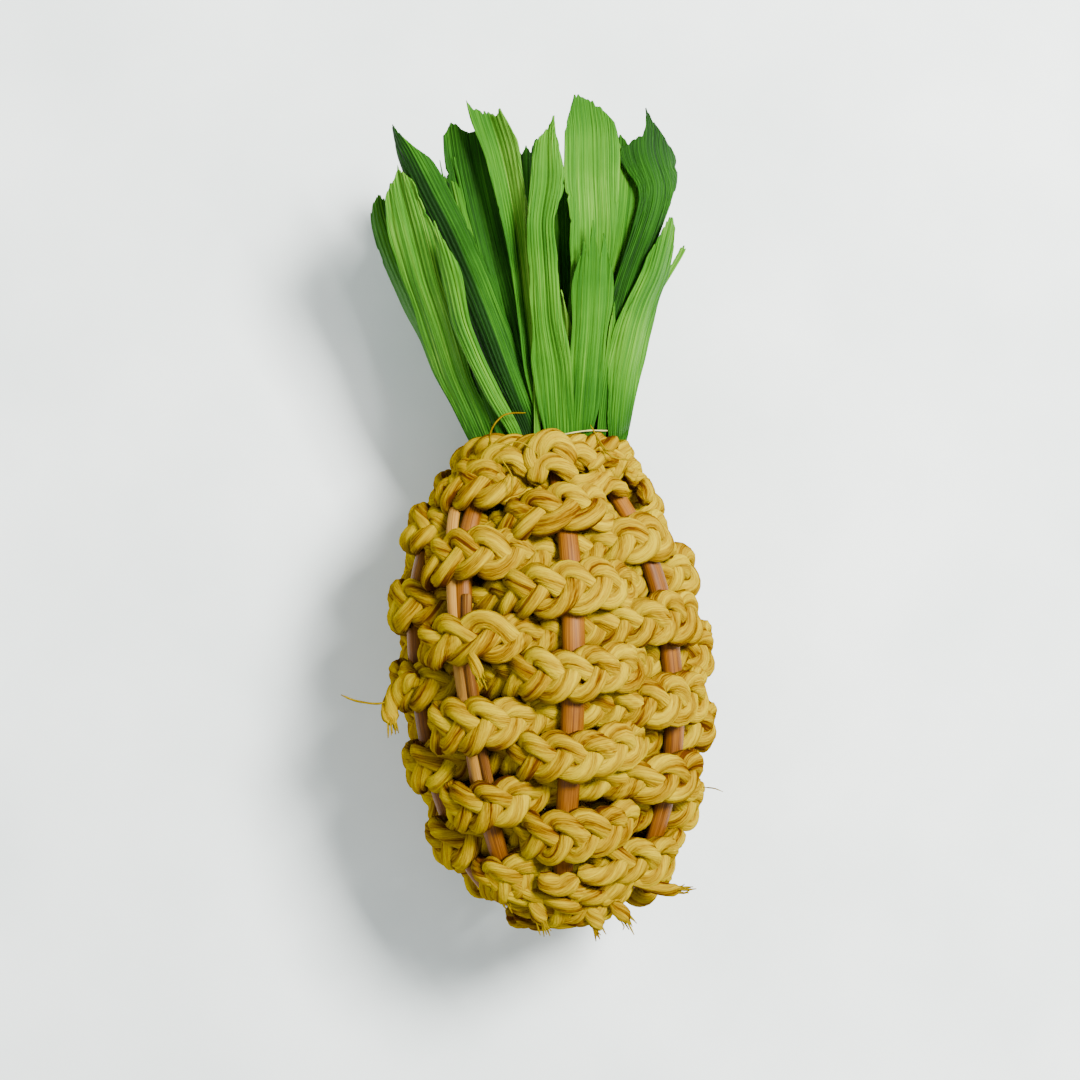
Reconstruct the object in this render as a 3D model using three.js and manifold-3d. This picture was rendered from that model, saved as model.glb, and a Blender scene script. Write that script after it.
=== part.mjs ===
// A woven toy in the shape of a pineapple, lying on its side: rattan ribs, a plaited cord
// woven over and under them in one spiral, and a crown of dried husk leaves tied into the neck.
// Millimetres, +Z up. The toy's long axis lies along +Y, crown first, and the side that
// faces up is called its front. The origin is on the floor, under the middle of the toy.
//
// Every piece is first worked out on the upright toy: an azimuth in degrees from the front
// (positive to the right), a height above the closed end, and a radius from the long axis.
import * as THREE from 'three';
import Module from 'manifold-3d';
import { mergeVertices } from 'three/addons/utils/BufferGeometryUtils.js';

const wasm = await Module();
wasm.setup();

// ---- driving dimensions ----
const RIB_PROFILE = [ // radius and height of a rib's centre line, closed end first
  [7.2, 6.6], [11.5, 7.2], [15.4, 10.2], [19.0, 15.8], [21.9, 23], [24.3, 31.2], [25.8, 41],
  [26.3, 51], [26.0, 61], [24.3, 71], [20.8, 80.5], [16.4, 88], [13.4, 93.4],
];
const RIB_AZIMUTHS = [8, 322, 282, 240, 199, 161, 128, 95, 60]; // in the order the cord meets them
const RIB_LEANS = [0.22, -0.02, -0.1, 0.08, 0, 0, -0.06, 0.08, -0.05]; // degrees per mm of height
const LEAN_HEIGHT = 50; // the height at which each rib is at its own azimuth
const RIB_END_RADIUS = 1.45;
const RIB_MID_RADIUS = 2.3;
const RIB_BELOW_NECK_LOOP = 1.5; // from a rib's cut top to the cord round the neck

const PLAIT_HALF_WIDTH = 3.55; // along the ribs, where neighbouring courses pass each other
const PLAIT_SPREAD_OVER_RIB = 0.18; // the cord spreads where it passes over a rib
const PLAIT_END_HALF_THICKNESS = 1.75; // where the ribs crowd together
const PLAIT_MID_HALF_THICKNESS = 2.25;
const PLAIT_PITCH = 7.75; // from one course to the next, along a rib
const PLAIT_LENGTHS = 5; // the cord is woven from this many lengths, end to end
const FIRST_CROSSING_FROM_TOP = 5.2; // along a rib
const LAST_CROSSING_FROM_END = 5.4;
const CLEARANCE = 0.35; // between pieces that touch on the real toy

const NECK_LOOP = { // the cord's last turn, round the foot of the crown
  centreX: 2.2, radius: 16.2, height: 95.2, riseFront: 1.2, riseLeft: 0.8, halfWidth: 2.1, halfThickness: 2.0,
};
const BASE_COIL = { outer: 8.4, inner: 2.6, halfWidth: 3.2, halfThickness: 2.0, turns: 1.15 };

const SPLINT_RADIUS = 1.0; // thin peeled sticks beside one rib
const SPLINTS = [
  { name: 'splint_long', beside: 1, offset: -3.7, low: 30, high: 84 },
  { name: 'splint_short', beside: 1, offset: 3.7, low: 37, high: 74 },
];

// The crown is a fan of leaves in curved layers, one behind another, seen from the front.
const CROWN_PROFILE = [ // height, half the width, half the depth, and the middle's x
  [84, 7.2, 7.2, 0.5], [90, 8.2, 8.2, 0.9], [93, 10.2, 9.4, 1.4], [96, 12.6, 10.4, 2.2],
  [99, 15.2, 11.0, 3.0], [104, 17.7, 12.2, 3.0], [112, 20.0, 14.0, 2.8], [125, 22.9, 17.0, 2.5],
  [140, 29.3, 20.0, 1.5], [165, 30.0, 21.0, 1.0],
];
const CROWN_ROUNDNESS = 1.15; // above 1, the layers meet the crown's sides at an angle
const LAYER_STEP = 0.2; // from a layer to the next, as a share of half the depth
const LEAF_FOOT_HEIGHT = 84; // the leaves' lower ends, inside the basket
const LEAF_NECK_HEIGHT = 99;
const LEAF_THICKNESS = 0.8;
// name, layer (front layers 0 to 3, middle layer 5, back layers -1 and -2), x of the middle and width at the
// neck, at 125 and at 145 above the closed end, then height and x of the tip
const LEAVES = [
  ['leaf_left_narrow', 0, [-3.4, 3.2], [-11.2, 3.4], [-15.6, 2.4], 144, -15.6],
  ['leaf_centre_tall', 0, [5.2, 5.0], [4.4, 5.6], [5.6, 4.4], 160, 8.2],
  ['leaf_centre_right', 0, [11.0, 4.4], [13.6, 6.6], [15.2, 5], 141, 15.0],
  ['leaf_right_front', 0, [16.0, 3.6], [21.8, 6.6], [29.0, 4], 141, 28.2],
  ['leaf_left_front', 1, [-9.4, 4.6], [-17.4, 7], [-22.3, 5], 154, -23.8],
  ['leaf_left_folded', 1, [1.0, 3.2], [-6.0, 6.4], [-15.0, 6], 161.5, -22.2],
  ['leaf_centre_sharp', 1, [4.0, 2.6], [-0.2, 4.8], [-2.0, 5.6], 163.5, -3.6],
  ['leaf_right_striped', 1, [9.6, 4.4], [11.4, 7.4], [14.8, 9], 165, 16.4],
  ['leaf_right_curled', 1, [15.0, 4.0], [20.6, 6.6], [28.4, 6], 161.5, 28.2],
  ['leaf_left_outer', 2, [-9.8, 4.0], [-18, 6.4], [-25.6, 6], 149, -27.4],
  ['leaf_left_slim', 2, [-5.6, 2.8], [-11.4, 4], [-13.4, 3.4], 155, -13.4],
  ['leaf_left_wide', 2, [-1.8, 3.6], [-6.2, 5.6], [-8.0, 6.8], 160, -7.4],
  ['leaf_core_left', 2, [3.4, 3.2], [2.6, 5], [2.6, 4.6], 157, 2.6],
  ['leaf_core_right', 2, [8.0, 3.4], [8.6, 4.6], [9.4, 4.6], 152, 9.6],
  ['leaf_right_inner', 2, [13.0, 3.4], [18.6, 6], [23.0, 6.4], 156, 24.0],
  ['leaf_core_back_left', 3, [-6.0, 3.6], [-12.6, 6.2], [-16.0, 5], 151, -17.0],
  ['leaf_core_back_right', 3, [10.0, 3.6], [14.4, 7], [18.0, 6.4], 157, 18.6],
  ['leaf_middle_1', 5, [-3.2, 4.2], [-9.6, 6.6], [-13.6, 6.6], 153, -14.6],
  ['leaf_middle_2', 5, [1.2, 4.0], [-1.8, 6.8], [-3.8, 7], 149, -4.0],
  ['leaf_middle_3', 5, [5.6, 4.0], [6.0, 6.8], [6.4, 7], 154, 6.6],
  ['leaf_middle_4', 5, [10.0, 4.2], [13.8, 6.6], [16.2, 6.6], 151, 17.0],
  ['leaf_back_1', -1, [-9.4, 4.0], [-17.2, 6.6], [-22.6, 7], 150, -24.0],
  ['leaf_back_2', -1, [-4.8, 3.8], [-9.6, 6.8], [-13.6, 7.4], 155, -14.4],
  ['leaf_back_3', -1, [-0.2, 3.8], [-1.8, 7], [-4.2, 8], 147, -4.8],
  ['leaf_back_4', -1, [4.6, 3.8], [6.2, 7], [5.6, 8], 156, 5.8],
  ['leaf_back_5', -1, [9.6, 4.0], [14.2, 7], [15.6, 8], 149, 16.6],
  ['leaf_back_6', -1, [15.0, 4.0], [21.6, 6], [25.8, 7], 153, 27.0],
  ['leaf_inner_1', -2, [-6.4, 4.4], [-13.2, 7.4], [-17.2, 8], 158, -18.6],
  ['leaf_inner_2', -2, [-0.8, 4.4], [-3.6, 7.8], [-5.4, 8.6], 161, -6.0],
  ['leaf_inner_3', -2, [5.2, 4.6], [6.6, 8], [8.2, 9], 154, 8.8],
  ['leaf_inner_4', -2, [12.0, 4.6], [17.0, 7.6], [20.6, 8], 160, 22.0],
];

const THREAD = { height: 101.5, radius: 0.4, gap: 1.3 };
const RESTING_FLAT = 0.8; // how far the lowest plaits are pressed flat where the toy lies

const COLOUR = { plait: 0xbd9a18, rattan: 0xa8672f, peeled: 0xcf9f5e, husk: 0x4f8a2a, thread: 0xb9b27a };

// ---- curves on the upright toy ----
const radians = THREE.MathUtils.degToRad;
const { lerp, clamp } = THREE.MathUtils;
const profile = new THREE.SplineCurve(RIB_PROFILE.map(([r, h]) => new THREE.Vector2(r, h)));
profile.arcLengthDivisions = 400;
const profileLength = profile.getLength();

// radius, height and the outward normal of the rib surface, at a length from the closed end
function profileAt(length) {
  const share = clamp(length / profileLength, 0, 1);
  const point = profile.getPointAt(share);
  const up = profile.getTangentAt(share);
  return { share, point, up, outward: new THREE.Vector2(up.y, -up.x) };
}

function lengthAtHeight(height) {
  let length = 0;
  while (length < profileLength && profileAt(length).point.y < height) length += 0.25;
  return Math.min(length, profileLength);
}

const swell = (share) => Math.sin(Math.PI * clamp(share, 0, 1)) ** 0.7;
const ribRadius = (share) => lerp(RIB_END_RADIUS, RIB_MID_RADIUS, swell(share));
const plaitHalfThickness = (share) => lerp(PLAIT_END_HALF_THICKNESS, PLAIT_MID_HALF_THICKNESS, swell(share));
const weaveDepth = (share) => ribRadius(share) + plaitHalfThickness(share) + CLEARANCE;

const ribAzimuth = (rib, height) => RIB_AZIMUTHS[rib] + RIB_LEANS[rib] * (height - LEAN_HEIGHT);

// azimuth after a number of crossings: the cord meets the ribs in order, turning leftwards
function crossingAzimuth(crossing, height) {
  const count = RIB_AZIMUTHS.length;
  const before = Math.floor(crossing);
  const unwrapped = (n) => {
    const rib = ((n % count) + count) % count;
    const turn = Math.floor(n / count) + (rib > 0 ? 1 : 0);
    return ribAzimuth(rib, height) - 360 * turn;
  };
  return lerp(unwrapped(before), unwrapped(before + 1), crossing - before);
}

// a point of the upright toy, from azimuth, radius and height
function place(azimuth, radius, height) {
  const turn = radians(azimuth);
  return new THREE.Vector3(radius * Math.sin(turn), -radius * Math.cos(turn), height);
}

// a point beside the meridian at this azimuth
function placeBeside(azimuth, radius, height, across) {
  const turn = radians(azimuth);
  const aside = new THREE.Vector3(Math.cos(turn), Math.sin(turn), 0);
  return place(azimuth, radius, height).addScaledVector(aside, across);
}

// ---- solids ----
// a straight bar extruded in steps and then bent: put(along, across, out) gives the place of
// a point of the section, with along from 0 to 1
function bend(shape, steps, put) {
  const bar = new THREE.ExtrudeGeometry(shape, { depth: 1, steps, bevelEnabled: false });
  bar.deleteAttribute('normal');
  bar.deleteAttribute('uv');
  const geometry = mergeVertices(bar, 1e-4);
  const position = geometry.attributes.position;
  for (let i = 0; i < position.count; i += 1) {
    const to = put(position.getZ(i), position.getX(i), position.getY(i));
    position.setXYZ(i, to.x, to.y, to.z);
  }
  return faceOutward(geometry);
}

function bentBar({ sides = 6, halfWidth, halfThickness, steps, put }) {
  const outline = [];
  for (let side = 0; side < sides; side += 1) {
    const turn = (2 * Math.PI * side) / sides;
    outline.push(new THREE.Vector2(halfWidth * Math.cos(turn), halfThickness * Math.sin(turn)));
  }
  return bend(new THREE.Shape(outline), steps, put);
}

// a bend can turn a bar inside out: its triangles are then turned back
function faceOutward(geometry) {
  const index = geometry.index.array;
  const position = geometry.attributes.position;
  const corner = [new THREE.Vector3(), new THREE.Vector3(), new THREE.Vector3()];
  let volume = 0;
  for (let i = 0; i < index.length; i += 3) {
    corner.forEach((point, k) => point.fromBufferAttribute(position, index[i + k]));
    volume += corner[0].dot(corner[1].cross(corner[2]));
  }
  if (volume < 0) {
    for (let i = 0; i < index.length; i += 3) {
      [index[i + 1], index[i + 2]] = [index[i + 2], index[i + 1]];
    }
  }
  return geometry;
}

function toSolid(geometry) {
  const mesh = new wasm.Mesh({
    numProp: 3,
    vertProperties: new Float32Array(geometry.attributes.position.array),
    triVerts: new Uint32Array(geometry.index.array),
  });
  return new wasm.Manifold(mesh);
}

function fromSolid(solid) {
  const { vertProperties, triVerts } = solid.getMesh();
  const geometry = new THREE.BufferGeometry();
  geometry.setAttribute('position', new THREE.BufferAttribute(vertProperties, 3));
  geometry.setIndex(new THREE.BufferAttribute(triVerts, 1));
  return geometry;
}

// ---- the ribs and the splints ----
function neckLoopHeight(azimuth) {
  const { height, riseFront, riseLeft } = NECK_LOOP;
  return height + riseFront * Math.cos(radians(azimuth)) - riseLeft * Math.sin(radians(azimuth));
}

// front ribs reach higher, because the cord round the neck is higher there
function ribLength(rib) {
  const top = neckLoopHeight(RIB_AZIMUTHS[rib]) - NECK_LOOP.halfWidth - RIB_BELOW_NECK_LOOP;
  return lengthAtHeight(top);
}

function ribGeometry(rib) {
  const length = ribLength(rib);
  const put = (along, across, out) => {
    const { share, point, outward } = profileAt(along * length);
    const lift = out * ribRadius(share);
    const radius = point.x + lift * outward.x;
    const height = point.y + lift * outward.y;
    return placeBeside(ribAzimuth(rib, point.y), radius, height, across * ribRadius(share));
  };
  return bentBar({ halfWidth: 1, halfThickness: 1, steps: 18, put });
}

function splintGeometry({ beside, offset, low, high }) {
  const from = lengthAtHeight(low);
  const to = lengthAtHeight(high);
  const put = (along, across, out) => {
    const { point, outward } = profileAt(lerp(from, to, along));
    const radius = point.x + out * outward.x;
    return placeBeside(ribAzimuth(beside, point.y), radius, point.y + out * outward.y, across + offset);
  };
  return bentBar({ halfWidth: SPLINT_RADIUS, halfThickness: SPLINT_RADIUS, steps: 10, put });
}

// ---- the woven cord ----
const ribCount = RIB_AZIMUTHS.length;
const weaveTop = profileLength - FIRST_CROSSING_FROM_TOP;
const crossings = Math.floor(((weaveTop - LAST_CROSSING_FROM_END) / PLAIT_PITCH) * ribCount);

// in to -1 behind the first rib, out to +1 over the next, and steady while it passes a rib
function overUnder(crossing) {
  return clamp(-1.42 * Math.cos(Math.PI * crossing), -1, 1);
}

function plaitGeometry(first, last) {
  const put = (along, across, out) => {
    const crossing = lerp(first, last, along);
    const { share, point, up, outward } = profileAt(weaveTop - (crossing * PLAIT_PITCH) / ribCount);
    const over = overUnder(crossing);
    const aside = across * (1 + PLAIT_SPREAD_OVER_RIB * Math.max(0, over) ** 2);
    const lift = weaveDepth(share) * over + out * plaitHalfThickness(share);
    const radius = point.x + lift * outward.x + aside * up.x;
    const height = point.y + lift * outward.y + aside * up.y;
    return place(crossingAzimuth(crossing, point.y), radius, height);
  };
  const steps = Math.round((last - first) * 4);
  return bentBar({ halfWidth: PLAIT_HALF_WIDTH, halfThickness: 1, steps, put });
}

// the lengths meet behind a rib, so each join is at an even crossing
function plaitEnds() {
  const ends = [0];
  for (let length = 1; length < PLAIT_LENGTHS; length += 1) {
    ends.push(2 * Math.round((crossings * length) / PLAIT_LENGTHS / 2));
  }
  ends.push(crossings);
  return ends;
}

function neckLoopGeometry() {
  const { centreX, radius, halfWidth, halfThickness } = NECK_LOOP;
  const put = (along, across, out) => {
    const azimuth = 190 + 351 * along;
    const to = place(azimuth, radius + out, neckLoopHeight(azimuth) + across);
    return to.setX(to.x + centreX);
  };
  return bentBar({ halfWidth, halfThickness, steps: 30, put });
}

function baseCoilGeometry() {
  const { outer, inner, halfWidth, halfThickness, turns } = BASE_COIL;
  const put = (along, across, out) => {
    const radius = lerp(outer, inner, Math.max(0, along * 1.9 - 0.9));
    const narrowing = lerp(1, 0.7, along);
    return place(-360 * turns * along, radius + across * narrowing, halfThickness + out);
  };
  return bentBar({ halfWidth, halfThickness, steps: 26, put });
}

// ---- the crown ----
// half the width, half the depth and the middle's x, at a height
function crownAt(height) {
  const next = clamp(CROWN_PROFILE.findIndex(([h]) => h >= height), 1, CROWN_PROFILE.length - 1);
  const [low, high] = [CROWN_PROFILE[next - 1], CROWN_PROFILE[next]];
  const share = clamp((height - low[0]) / (high[0] - low[0]), 0, 1);
  const [, halfWidth, halfDepth, middle] = low.map((value, k) => lerp(value, high[k], share));
  return { halfWidth, halfDepth, middle };
}

// the depth of a layer at a place in the crown: negative at the front
function layerDepth(layer, x, height) {
  const { halfWidth, halfDepth, middle } = crownAt(height);
  const aside = clamp((x - middle) / (CROWN_ROUNDNESS * halfWidth), -0.98, 0.98);
  const side = layer < 0 ? 1 : -1;
  const inwards = layer < 0 ? -1 - layer : layer;
  return side * halfDepth * (Math.sqrt(1 - aside * aside) - LAYER_STEP * inwards);
}

// middle and width of a leaf at a height: below the neck it keeps its share of the bundle
function leafAt([, , neck, low, high, tipHeight, tipX], height) {
  if (height <= LEAF_NECK_HEIGHT) {
    const here = crownAt(height);
    const atNeck = crownAt(LEAF_NECK_HEIGHT);
    const share = here.halfWidth / atNeck.halfWidth;
    return { x: here.middle + (neck[0] - atNeck.middle) * share, width: neck[1] * share };
  }
  const stations = [[LEAF_NECK_HEIGHT, ...neck], [125, ...low], [145, ...high], [tipHeight, tipX, high[1] * 0.45]];
  const kept = stations.filter(([h], k) => k === stations.length - 1 || h < tipHeight);
  const next = clamp(kept.findIndex(([h]) => h >= height), 1, kept.length - 1);
  const [a, b] = [kept[next - 1], kept[next]];
  const share = (height - a[0]) / (b[0] - a[0]);
  return { x: lerp(a[1], b[1], share), width: lerp(a[2], b[2], share) };
}

function leafGeometry(leaf) {
  const [, layer, , , , tipHeight] = leaf;
  const half = LEAF_THICKNESS / 2;
  const strip = new THREE.Shape();
  strip.moveTo(-0.5, -half);
  [-0.17, 0.17, 0.5].forEach((across) => strip.lineTo(across, -half));
  [0.5, 0.17, -0.17, -0.5].forEach((across) => strip.lineTo(across, half));
  const put = (along, across, out) => {
    const height = lerp(LEAF_FOOT_HEIGHT, tipHeight, along);
    const { x, width } = leafAt(leaf, height);
    const at = x + across * width;
    return new THREE.Vector3(at, layerDepth(layer, at, height) + out, height);
  };
  return bend(strip, 11, put);
}

// one open turn of thread round the leaves, just above the cord round the neck
function threadGeometry() {
  const { height, radius, gap } = THREAD;
  const put = (along, across, out) => {
    const turn = radians(200 + 340 * along);
    const { halfWidth, halfDepth, middle } = crownAt(height);
    const x = middle + (CROWN_ROUNDNESS * halfWidth + gap + out) * Math.sin(turn);
    return new THREE.Vector3(x, -(halfDepth + gap + out) * Math.cos(turn), height + across);
  };
  return bentBar({ sides: 5, halfWidth: radius, halfThickness: radius, steps: 30, put });
}

// ---- the assembly ----
const toy = new THREE.Group();
toy.name = 'woven_pineapple_toy';

function add(name, geometry, colour, roughness) {
  const material = new THREE.MeshStandardMaterial({ color: colour, roughness, metalness: 0 });
  const mesh = new THREE.Mesh(geometry, material);
  mesh.name = name;
  toy.add(mesh);
}

RIB_AZIMUTHS.forEach((azimuth, rib) => add(`rib_${rib + 1}`, ribGeometry(rib), COLOUR.rattan, 0.55));
SPLINTS.forEach((splint) => add(splint.name, splintGeometry(splint), COLOUR.peeled, 0.6));

// the toy lies on two ribs at its back: the plaits over them are pressed flat on the floor
const joinGap = 0.02;
const ends = plaitEnds();
const plaits = [];
for (let length = 0; length < PLAIT_LENGTHS; length += 1) {
  plaits.push(plaitGeometry(ends[length] + joinGap, ends[length + 1] - joinGap));
}
const backReach = (geometry) => {
  geometry.computeBoundingBox();
  return geometry.boundingBox.max.y;
};
const floorDistance = Math.max(...plaits.map(backReach)) - RESTING_FLAT;
const FLOOR_SLAB = { width: 120, length: 260, thickness: 20 };
const slab = new THREE.BoxGeometry(FLOOR_SLAB.width, FLOOR_SLAB.thickness, FLOOR_SLAB.length);
slab.deleteAttribute('normal');
slab.deleteAttribute('uv');
slab.translate(0, floorDistance + FLOOR_SLAB.thickness / 2, 0);
const floorSolid = toSolid(mergeVertices(slab));
plaits.forEach((geometry, index) => {
  const rests = backReach(geometry) > floorDistance;
  const shape = rests ? fromSolid(toSolid(geometry).subtract(floorSolid)) : geometry;
  add(`plait_${index + 1}`, shape, COLOUR.plait, 0.5);
});
add('neck_loop', neckLoopGeometry(), COLOUR.plait, 0.5);
add('base_coil', baseCoilGeometry(), COLOUR.plait, 0.5);

LEAVES.forEach((leaf) => add(leaf[0], leafGeometry(leaf), COLOUR.husk, 0.6));
add('binding_thread', threadGeometry(), COLOUR.thread, 0.7);

// lay the toy down, front upwards, and put the origin under its middle
toy.rotation.x = -Math.PI / 2;
toy.updateMatrixWorld(true);
const box = new THREE.Box3().setFromObject(toy, true);
toy.position.set(-(box.min.x + box.max.x) / 2, -(box.min.y + box.max.y) / 2, -box.min.z);
toy.updateMatrixWorld(true);

export default toy;
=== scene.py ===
"""A woven pineapple toy lying on its side: rattan ribs, a plaited yellow cord and a crown of green husk."""

import math

import bpy
import numpy as np
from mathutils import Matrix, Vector


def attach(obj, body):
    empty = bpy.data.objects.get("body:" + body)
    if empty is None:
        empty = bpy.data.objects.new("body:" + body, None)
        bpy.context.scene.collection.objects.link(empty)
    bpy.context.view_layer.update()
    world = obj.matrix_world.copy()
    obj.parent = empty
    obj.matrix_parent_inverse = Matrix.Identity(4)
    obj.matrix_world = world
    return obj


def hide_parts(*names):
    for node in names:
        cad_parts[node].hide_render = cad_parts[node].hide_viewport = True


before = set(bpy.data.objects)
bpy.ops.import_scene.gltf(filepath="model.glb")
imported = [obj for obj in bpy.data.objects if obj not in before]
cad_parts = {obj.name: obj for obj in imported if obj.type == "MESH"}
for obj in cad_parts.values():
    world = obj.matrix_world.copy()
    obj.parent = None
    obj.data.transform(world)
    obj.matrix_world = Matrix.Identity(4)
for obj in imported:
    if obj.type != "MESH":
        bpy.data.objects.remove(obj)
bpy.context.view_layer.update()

# ---- the upright toy, in millimetres, as the CAD part lays it out ----
# azimuth in degrees from the front, positive to the right; height above the closed end
RIB_PROFILE = [
    (7.2, 6.6), (11.5, 7.2), (15.4, 10.2), (19.0, 15.8), (21.9, 23), (24.3, 31.2), (25.8, 41),
    (26.3, 51), (26.0, 61), (24.3, 71), (20.8, 80.5), (16.4, 88), (13.4, 93.4),
]
RIB_AZIMUTHS = [8, 322, 282, 240, 199, 161, 128, 95, 60]
RIB_LEANS = [0.22, -0.02, -0.1, 0.08, 0, 0, -0.06, 0.08, -0.05]
LEAN_HEIGHT = 50
RIB_END_RADIUS = 1.45
RIB_MID_RADIUS = 2.3
PLAIT_PITCH = 7.75
PLAIT_LENGTHS = 5
FIRST_CROSSING_FROM_TOP = 5.2
LAST_CROSSING_FROM_END = 5.4
NECK_X, NECK_RADIUS, NECK_HEIGHT = 2.2, 16.2, 94.6
COIL_OUTER, COIL_INNER, COIL_TURNS = 8.4, 2.6, 1.15
# beside which rib, from and to which height, how far aside from low to high, how far out, radius and tone
SPLINTS = {
    "splint_long": (1, 28, 84, (0.9, 0.2, -0.6, -1.4, -3.6), 2.5, 1.25, 0.02),
    "splint_short": (1, 30, 68, (2.9, 2.2, 1.8, 2.2), 2.1, 1.1, -0.2),
}

MM = 0.001
AXIS_X, CLOSED_END_Y, AXIS_Z = 0.033 * MM, -82.634 * MM, 31.905 * MM
SEED = 7


def laid_down(points):
    """Upright millimetres to metres in the frame: the front turns up, the crown along +Y."""
    p = np.asarray(points, float)
    return np.stack([
        p[..., 0] * MM + AXIS_X,
        p[..., 2] * MM + CLOSED_END_Y,
        -p[..., 1] * MM + AXIS_Z,
    ], axis=-1)


# ---- curves ----
def catmull(points, t):
    """The curve through these points that three.js calls a SplineCurve; t from 0 to 1."""
    p = np.asarray(points, float)
    at = np.clip(np.asarray(t, float), 0, 1) * (len(p) - 1)
    i = np.minimum(np.floor(at).astype(int), len(p) - 2)
    w = (at - i)[..., None]
    p0 = p[np.maximum(i - 1, 0)]
    p1, p2 = p[i], p[i + 1]
    p3 = p[np.minimum(i + 2, len(p) - 1)]
    v0, v1 = (p2 - p0) / 2, (p3 - p1) / 2
    return (2 * p1 - 2 * p2 + v0 + v1) * w**3 + (-3 * p1 + 3 * p2 - 2 * v0 - v1) * w**2 + v0 * w + p1


FINE = np.linspace(0, 1, 4001)
PROFILE_POINTS = catmull(RIB_PROFILE, FINE)
PROFILE_RUN = np.concatenate([[0], np.cumsum(np.linalg.norm(np.diff(PROFILE_POINTS, axis=0), axis=1))])
PROFILE_LENGTH = PROFILE_RUN[-1]


def profile_at(length):
    """share of the rib, radius and height, the way up along it, and the way out of it"""
    s = np.clip(length, 0, PROFILE_LENGTH)
    point = np.stack([np.interp(s, PROFILE_RUN, PROFILE_POINTS[:, k]) for k in (0, 1)], axis=-1)
    step = 0.3
    ahead = np.stack([np.interp(s + step, PROFILE_RUN, PROFILE_POINTS[:, k]) for k in (0, 1)], axis=-1)
    behind = np.stack([np.interp(s - step, PROFILE_RUN, PROFILE_POINTS[:, k]) for k in (0, 1)], axis=-1)
    up = ahead - behind
    up /= np.linalg.norm(up, axis=-1, keepdims=True)
    out = np.stack([up[..., 1], -up[..., 0]], axis=-1)
    return s / PROFILE_LENGTH, point, up, out


def swell(share):
    return np.sin(np.pi * np.clip(share, 0, 1)) ** 0.7


def rib_radius(share):
    return RIB_END_RADIUS + (RIB_MID_RADIUS - RIB_END_RADIUS) * swell(share)


def rib_azimuth(rib, height):
    azimuths, leans = np.array(RIB_AZIMUTHS, float), np.array(RIB_LEANS, float)
    return azimuths[rib] + leans[rib] * (height - LEAN_HEIGHT)


def crossing_azimuth(crossing, height):
    count = len(RIB_AZIMUTHS)
    before = np.floor(crossing).astype(int)

    def unwrapped(n):
        rib = n % count
        turn = n // count + (rib > 0)
        return rib_azimuth(rib, height) - 360 * turn

    a, b = unwrapped(before), unwrapped(before + 1)
    return a + (b - a) * (crossing - before)


BELLY_SHIFT = 1.3  # the real basket is not quite even: its belly leans to the right


def around(azimuth, radius, height):
    turn = np.radians(azimuth)
    lean = BELLY_SHIFT * np.exp(-((np.asarray(height) - 42) / 30) ** 2)
    return np.stack([radius * np.sin(turn) + lean, -radius * np.cos(turn), height + 0 * turn], axis=-1)


def unit(v):
    return v / np.maximum(np.linalg.norm(v, axis=-1, keepdims=True), 1e-12)


def smooth(value, low, high):
    t = np.clip((value - low) / (high - low), 0, 1)
    return t * t * (3 - 2 * t)


class Wander:
    """Smooth seeded noise along a length: about one change of direction in every `span`."""

    def __init__(self, seed, span):
        self.values = np.random.default_rng(seed).uniform(-1, 1, 4096)
        self.span = span

    def __call__(self, s):
        at = np.asarray(s, float) / self.span + 50
        i = np.floor(at).astype(int)
        w = at - i
        w = w * w * (3 - 2 * w)
        return self.values[i % 4096] * (1 - w) + self.values[(i + 1) % 4096] * w


# ---- meshes ----
def new_mesh(name, points, faces, finish, fibres):
    """A smooth mesh from points of the upright toy, with its `fibre` attribute and its material."""
    mesh = bpy.data.meshes.new(name)
    mesh.vertices.add(len(points))
    mesh.vertices.foreach_set("co", laid_down(points).astype(np.float32).ravel())
    faces = np.asarray(faces, np.int32)
    mesh.loops.add(faces.size)
    mesh.loops.foreach_set("vertex_index", faces.ravel())
    mesh.polygons.add(len(faces))
    mesh.polygons.foreach_set("loop_start", np.arange(0, faces.size, 4, dtype=np.int32))
    mesh.update(calc_edges=True)
    mesh.validate()
    layer = mesh.attributes.new("fibre", "FLOAT_VECTOR", "POINT")
    layer.data.foreach_set("vector", np.asarray(fibres, np.float32).ravel())
    mesh.polygons.foreach_set("use_smooth", [True] * len(mesh.polygons))
    mesh.materials.append(finish)
    piece = bpy.data.objects.new(name, mesh)
    bpy.context.scene.collection.objects.link(piece)
    return piece


def tube(rings):
    """Quads over an array of rings (ring, corner, xyz), with both ends closed to a point."""
    count, corners = rings.shape[:2]
    points = rings.reshape(-1, 3)
    grid = np.arange(count * corners).reshape(count, corners)
    right = np.roll(grid, -1, axis=1)
    faces = np.stack([grid[:-1], right[:-1], right[1:], grid[1:]], axis=-1).reshape(-1, 4)
    first, last = len(points), len(points) + 1
    points = np.vstack([points, rings[0].mean(axis=0), rings[-1].mean(axis=0)])
    half = corners // 2
    low, high = grid[0], grid[-1]
    caps = []
    for k in range(half):
        a, b, c = 2 * k, (2 * k + 1) % corners, (2 * k + 2) % corners
        caps.append([first, low[c], low[b], low[a]])
        caps.append([last, high[a], high[b], high[c]])
    return points, np.vstack([faces, caps])


def join_tubes(parts):
    """One set of points and faces, with the `fibre` attribute of each, from several tubes."""
    points, faces, fibres, start = [], [], [], 0
    for rings, fibre in parts:
        p, f = tube(rings)
        points.append(p)
        faces.append(f + start)
        flat = fibre.reshape(-1, 3)
        fibres.append(np.vstack([flat, fibre[0, :1], fibre[-1, :1]]))
        start += len(p)
    return np.vstack(points), np.vstack(faces), np.vstack(fibres)


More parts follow.
